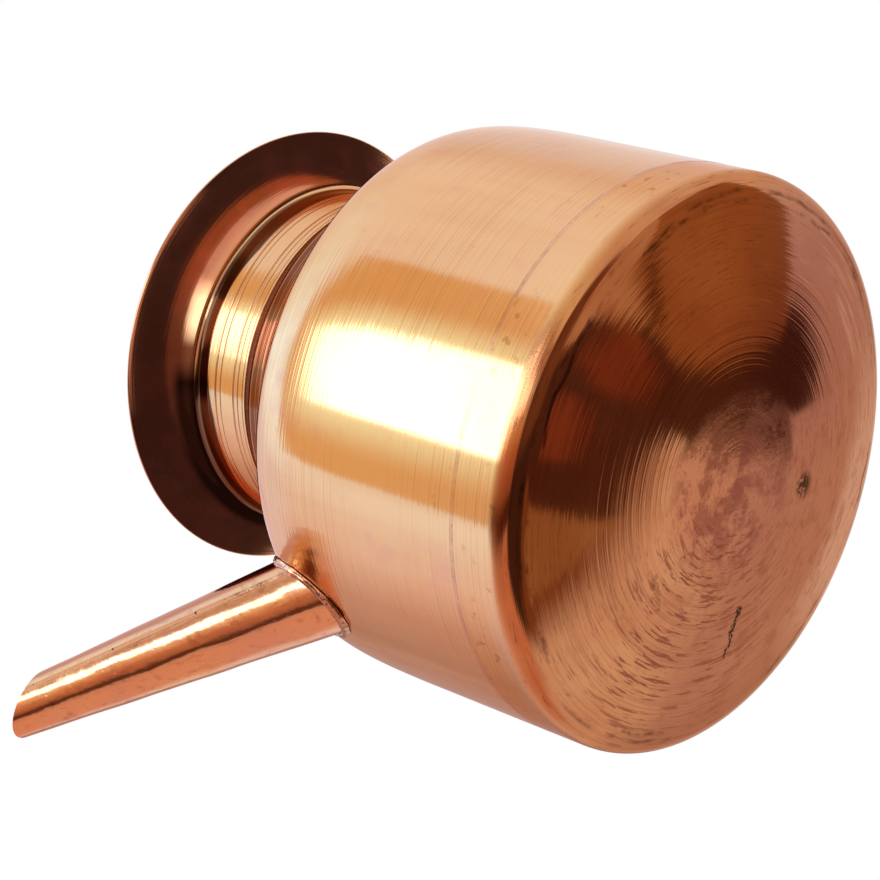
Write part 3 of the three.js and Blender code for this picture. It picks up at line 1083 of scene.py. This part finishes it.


# %% [markdown]
# Each dressed piece rides on the pot's one body and stands for its CAD solid. The solids themselves
# stay hidden beneath, for the physics.

# %% Pieces onto the frame
for piece, node, slot in (
    (base, "base_cup", "base_copper"),
    (belly, "belly_shell", "belly_copper"),
    (neck, "neck_rim", "neck_copper"),
    (spout, "spout_tube", "spout_copper"),
    (base_ring, "base_seam_braze", "seam_braze"),
    (neck_ring, "neck_seam_braze", "seam_braze"),
    (strip, "spout_seam_braze", "spout_braze"),
    (bead, "spout_root_braze", "spout_braze"),
):
    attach(piece, "root")
    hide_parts(node)
print("materials so far:", len(bpy.data.materials))

# %% [markdown]
# The floor is a pale sheet under the foot. It fades to plain white away from the pot, so its edge
# never shows. Seen from below it is clear, because this camera looks up through it, and reflections
# pass it by so that the metal shows the white room instead.

# %% Floor
floor_reach = 3


def flat_card(name, corners, matrix):
    mesh = bpy.data.meshes.new(name)
    mesh.from_pydata([(x, y, 0) for x, y in corners], [], [tuple(range(len(corners)))])
    made = bpy.data.objects.new(name, mesh)
    made.matrix_world = matrix
    bpy.context.scene.collection.objects.link(made)
    return made


near, far = -floor_reach, floor_reach
floor = flat_card("floor", [(near, near), (far, near), (far, far), (near, far)], Matrix())
f = Finish("floor_white")
pale = f.node("BsdfDiffuse", {}, {"Color": (0.82, 0.81, 0.80, 1)})
seen = f.node("MixShader", {}, {0: f.r.from_to(0.16, 0.55), 1: pale, 2: f.glow((1, 1, 1, 1))})
wear(floor, f.showing(f.from_front(seen)))
floor.visible_glossy = floor.visible_transmission = floor.visible_shadow = False

# %% [markdown]
# The world is white to the camera and in the metal, and a plain soft light on everything else. The
# Light Path node says which kind of ray is asking, so that one world can be both.

# %% World
world = bpy.data.worlds.new("room")
bpy.context.scene.world = world
room = Nodes(world)
camera_ray, glossy_ray, clear_ray = room.outputs(
    "LightPath", ("Is Camera Ray", "Is Glossy Ray", "Is Transmission Ray"),
)
soft_room, white_room = (
    room.node("Background", {}, {"Color": (1, 1, 1, 1), "Strength": strength}) for strength in (0.75, 1.0)
)
seen_white = camera_ray.at_least(glossy_ray).at_least(clear_ray)
choice = room.node("MixShader", {}, {0: seen_white, 1: soft_room, 2: white_room})
room.node("OutputWorld", {}, {"Surface": choice})
print("world:", len(room.tree.nodes), "nodes")

# %% [markdown]
# One large softbox lights the floor and whatever isn't metal, from the camera's left. Metal doesn't see
# the lamp itself but the white patch of the screen below, so the two stand in the same direction.

# %% Softbox
heart = Vector((0, 0, 60 * mm))
softbox_azimuth, softbox_elevation, softbox_distance = 48, 14, 0.8
softbox_strength = 3.5


def direction(azimuth, elevation):
    a, e = math.radians(azimuth), math.radians(elevation)
    return Vector((math.cos(e) * math.cos(a), math.cos(e) * math.sin(a), math.sin(e)))


def aimed(azimuth, elevation, distance):
    """A place round the pot, turned so that its Z looks away from the pot and its Y is up."""
    out = direction(azimuth, elevation)
    return Matrix.Translation(heart + out * distance) @ out.to_track_quat("Z", "Y").to_matrix().to_4x4()


softbox_data = bpy.data.lights.new("softbox", "AREA")
softbox_data.shape = "RECTANGLE"
softbox_data.size, softbox_data.size_y = 0.56, 1.2
softbox_data.energy = softbox_strength * math.pi * softbox_data.size * softbox_data.size_y
softbox = bpy.data.objects.new("softbox", softbox_data)
softbox.matrix_world = aimed(softbox_azimuth, softbox_elevation, softbox_distance)
softbox.visible_camera = softbox.visible_glossy = False
bpy.context.scene.collection.objects.link(softbox)
print("softbox:", round(softbox_data.energy, 1), "watts")

# %% [markdown]
# Copper gets its depth from what it mirrors, so a photographer hangs screens round it. They show only
# in reflections. One round screen holds it all, and its tones go by azimuth, the direction round the
# pot with 0 at the spout, in four belts of height. A tone is what the copper should show there,
# divided by the colour of the copper. Screens of cloth on stands would be more real, but one round
# screen has no gap that a curved pot would find.

# %% Tones of the screen
middle_tones = [
    (-180, (0.90, 0.92, 1.05)), (-150, (0.95, 0.95, 1.0)), (-120, (0.70, 0.55, 0.55)), (-108, (0.52, 0.36, 0.34)),
    (-62, (0.54, 0.38, 0.36)), (-40, (0.70, 0.52, 0.52)), (-20, (0.95, 0.88, 0.98)), (11, (1.08, 1.30, 1.50)),
    (13, (1.0, 1.0, 1.0)), (110, (1.04, 1.10, 1.18)), (150, (1.04, 1.10, 1.15)), (165, (0.92, 0.84, 0.80)),
    (180, (0.90, 0.92, 1.05)),
]
high_tones = [
    (-180, (0.96, 0.95, 1.05)), (-120, (0.92, 0.86, 0.95)), (-60, (0.92, 0.90, 1.20)), (0, (1.0, 1.15, 1.55)),
    (14, (1.12, 1.50, 1.90)), (35, (1.20, 1.75, 2.4)), (60, (1.20, 1.80, 2.5)), (80, (1.12, 1.50, 1.85)),
    (115, (1.04, 1.25, 1.35)), (150, (0.98, 1.02, 1.05)), (180, (0.96, 0.95, 1.05)),
]
low_tones = [
    (-180, (1.0, 1.0, 1.0)), (-70, (1.0, 1.0, 1.0)), (-56, (0.86, 0.52, 0.40)), (-4, (0.85, 0.48, 0.34)),
    (8, (0.70, 0.44, 0.34)), (12, (0.13, 0.05, 0.03)), (21, (0.13, 0.05, 0.03)), (26, (0.45, 0.20, 0.11)),
    (42, (0.72, 0.33, 0.18)), (52, (1.0, 0.70, 0.42)), (66, (1.1, 1.2, 1.2)), (76, (0.66, 0.49, 0.41)),
    (84, (0.72, 0.54, 0.42)), (96, (1.08, 1.10, 0.80)), (112, (1.08, 1.15, 0.95)), (130, (0.95, 0.88, 0.75)),
    (180, (1.0, 1.0, 1.0)),
]
floor_tones = [
    (-180, (0.28, 0.13, 0.06)), (-70, (0.28, 0.13, 0.06)), (-55, (0.08, 0.045, 0.035)), (25, (0.08, 0.045, 0.035)),
    (45, (0.20, 0.10, 0.06)), (180, (0.28, 0.13, 0.06)),
]
fold_shade, gold_edge = (0.80, 0.66, 0.58), (0.89, 0.65, 0.35)
haze_white, softbox_white = (1.15, 1.50, 1.30), (4.2, 4.2, 4.2)


def around_ramp(f, azimuth, tones):
    stops = [((a + 180) / 360, tone) for a, tone in tones]
    return f.node("ValToRGB", {"stops": stops}, {0: azimuth / 360 + 0.5})


# %% [markdown]
# On the screen the softbox is a white window with rounded corners. A gold edge frames its top, a bright
# haze fades out above it, and faint folds keep the rest from looking flat. The numbers are degrees of
# azimuth and of height, seen from the middle of the pot.

# %% Screen round the pot
def only_in_metal(card):
    card.visible_camera = card.visible_diffuse = card.visible_shadow = card.visible_transmission = False


def softbox_window(azimuth, height, right):
    left = azimuth + height.from_to(34, 8) * -20
    corner = height + (azimuth - 58) ** 2.0 * 0.006
    white = left.from_to(36.5, 39) * (right + height.from_to(34, 18) * 4).from_to(74.5, 71.5)
    return white * corner.from_to(47.4, 45.0) * height.from_to(-38, -33)


def screen_finish(radius):
    f = Finish("screen_tones")
    azimuth = azimuth_of(f)
    height = f.node("Math", {"operation": "ARCSINE"}, {0: (f.z - heart.z) / radius}) * (180 / math.pi)
    low = height + azimuth.from_to(14, 4) * 16
    above = height.from_to(30, 37)
    arch = height + (azimuth - 50) ** 2.0 * 0.0045
    gold = azimuth.from_to(12, 13.5) * azimuth.from_to(101.5, 98) * arch.from_to(55.4, 54.2) * above
    right = azimuth + (height - 38).at_least(0) * 0.9
    haze = azimuth.from_to(20, 41) * right.from_to(87, 73) * height.from_to(52, 45) * above
    tone = f.layered(
        around_ramp(f, azimuth, middle_tones),
        (height.from_to(44, 51), around_ramp(f, azimuth, high_tones)),
        (f.noise(0.11, 4.0, 0.6).from_to(0.48, 0.70) * 0.22, fold_shade),
        (low.from_to(37, 30), around_ramp(f, azimuth, low_tones)),
        (height.from_to(-48, -56), around_ramp(f, azimuth, floor_tones)),
        (gold, gold_edge),
        (haze, haze_white),
        (softbox_window(azimuth, height, right), softbox_white),
    )
    return f.showing(f.glow(tone))


def screen(radius, sides=96, rings=48):
    vertices = [
        tuple(heart + direction(360 * k / sides, 180 * j / rings - 90) * radius)
        for j in range(rings + 1) for k in range(sides)
    ]
    made = finished("screen", vertices, skin(rings + 1, sides))
    made.data.validate()
    only_in_metal(made)
    wear(made, screen_finish(radius))


screen_radius = 1.1
screen(screen_radius)

# %% [markdown]
# Dark cards give the copper its shade. Rings at the height of the bend darken the underside of the
# flare, which looks down on them. Their lower faces are clear, so they let the light from below
# through. Two of the rings are shifted a little to one side, which makes their bands in the reflection
# wider there. A darker screen would do it without rings, but the belly would darken with the flare.

# %% Ring cards
def ring_card(name, inner, outer, height, tones, shift=0.0, sides=96):
    vertices = [polar(radius, 2 * math.pi * k / sides, height) for radius in (inner, outer) for k in range(sides)]
    faces = [(k, sides + k, sides + (k + 1) % sides, (k + 1) % sides) for k in range(sides)]
    made = finished(name, vertices, faces)
    made.location = direction(135, 0) * shift
    f = Finish(name)
    wear(made, f.showing(f.from_front(f.glow(around_ramp(f, azimuth_of(f), tones)))))
    only_in_metal(made)


crease_tones = [
    (-180, (0.50, 0.26, 0.18)), (-40, (0.20, 0.10, 0.08)), (26, (0.18, 0.09, 0.07)), (43, (0.24, 0.13, 0.10)),
    (51, (2.4, 2.6, 2.5)), (59, (2.6, 2.7, 2.5)), (68, (0.86, 0.62, 0.56)), (95, (0.85, 0.62, 0.58)),
    (140, (0.80, 0.56, 0.50)), (180, (0.40, 0.20, 0.15)),
]
flare_red_tones = [
    (-180, (0.10, 0.05, 0.04)), (-30, (0.11, 0.055, 0.045)), (26, (0.12, 0.055, 0.045)), (50, (0.22, 0.085, 0.05)),
    (75, (0.42, 0.145, 0.07)), (130, (0.42, 0.145, 0.07)), (180, (0.10, 0.05, 0.04)),
]
flare_dark_tones = [(-180, (0.06, 0.03, 0.03)), (60, (0.05, 0.024, 0.024)), (180, (0.06, 0.03, 0.03))]
flare_far_tones = [
    (-180, (0.06, 0.03, 0.03)), (20, (0.05, 0.024, 0.024)), (38, (0.70, 0.45, 0.36)), (78, (0.70, 0.45, 0.36)),
    (98, (0.05, 0.024, 0.024)), (180, (0.06, 0.03, 0.03)),
]
ring_shift = 2.2 * mm
ring_card("crease_inner_card", 35.6 * mm, 39.3 * mm, 105.98 * mm, crease_tones)
ring_card("crease_card", 37.8 * mm, 40.8 * mm, 106 * mm, crease_tones, ring_shift)
ring_card("flare_red_card", 40.8 * mm, 44.6 * mm, 106.01 * mm, flare_red_tones, ring_shift)
ring_card("flare_dark_card", 42 * mm, 53 * mm, 105.99 * mm, flare_dark_tones)
ring_card("flare_far_card", 53 * mm, 600 * mm, 106 * mm, flare_far_tones)

# %% [markdown]
# The polished base is a slightly domed mirror, and it shows brown and dark shapes from beyond the foot.
# Painting them on the copper would be easier, but they would stay put when the pot turns. So flat
# cards hang half a metre away, a millimetre or more apart, cut so that each reflection has its shape.

# %% Cards beyond the foot
beyond = Vector((-0.46753, -0.68637, -0.55706))
beyond_side = Vector((-0.82648, 0.56297, 0))
beyond_turn = Matrix((beyond_side, beyond_side.cross(beyond), -beyond)).transposed().to_4x4()
drawn_distance = 500
deep_red = (0.28, 0.09, 0.05)
beyond_cards = [
    ("brown_card", 504, (0.44, 0.24, 0.11), [(60, -232), (700, -420), (700, 0), (150, 35), (110, 60), (50, 40)]),
    ("tan_card", 503, (0.68, 0.52, 0.38), [(130, -232), (700, -420), (900, -900), (250, -900), (130, -420)]),
    ("edge_card", 501, (0.06, 0.025, 0.018), [
        (50, -144), (88, -172), (112, -190), (150, -198), (190, -212), (225, -214), (320, -222), (320, -236),
        (225, -234), (185, -224), (150, -220), (110, -203), (88, -194), (50, -162),
    ]),
    ("dark_card", 500, (0.11, 0.05, 0.036), [
        (148, -760), (148, -409), (119, -264), (126, -207), (102, -192), (84, -172), (88, -95), (104, -36),
        (124, 25), (158, 37), (143, 68), (105, 100), (68, 107), (45, 36), (12, 30), (3, -12), (0, -74),
        (20, -120), (-2, -168), (-34, -187), (-77, -186), (-92, -215), (-99, -293), (-120, -400), (-120, -760),
    ]),
    ("red_card", 498, deep_red, [
        (79, -323), (111, -274), (126, -246), (97, -205), (67, -187), (46, -212), (43, -278),
    ]),
    ("low_red_card", 497, deep_red, [(-23, -394), (29, -368), (37, -307), (3, -286), (-39, -294), (-54, -372)]),
    ("low_brown_card", 499, (0.45, 0.30, 0.16), [
        (-77, -186), (-120, -205), (-246, -293), (-210, -420), (-120, -400), (-99, -293), (-92, -215),
    ]),
]
for name, distance, colour, corners in beyond_cards:
    scale = distance / drawn_distance
    place = Matrix.Translation(beyond * distance * mm) @ beyond_turn
    made = flat_card(name, [(x * scale * mm, y * scale * mm) for x, y in corners], place)
    f = Finish(name)
    wear(made, f.showing(f.glow((*colour, 1))))
    only_in_metal(made)
print("cards beyond the foot:", len(beyond_cards))
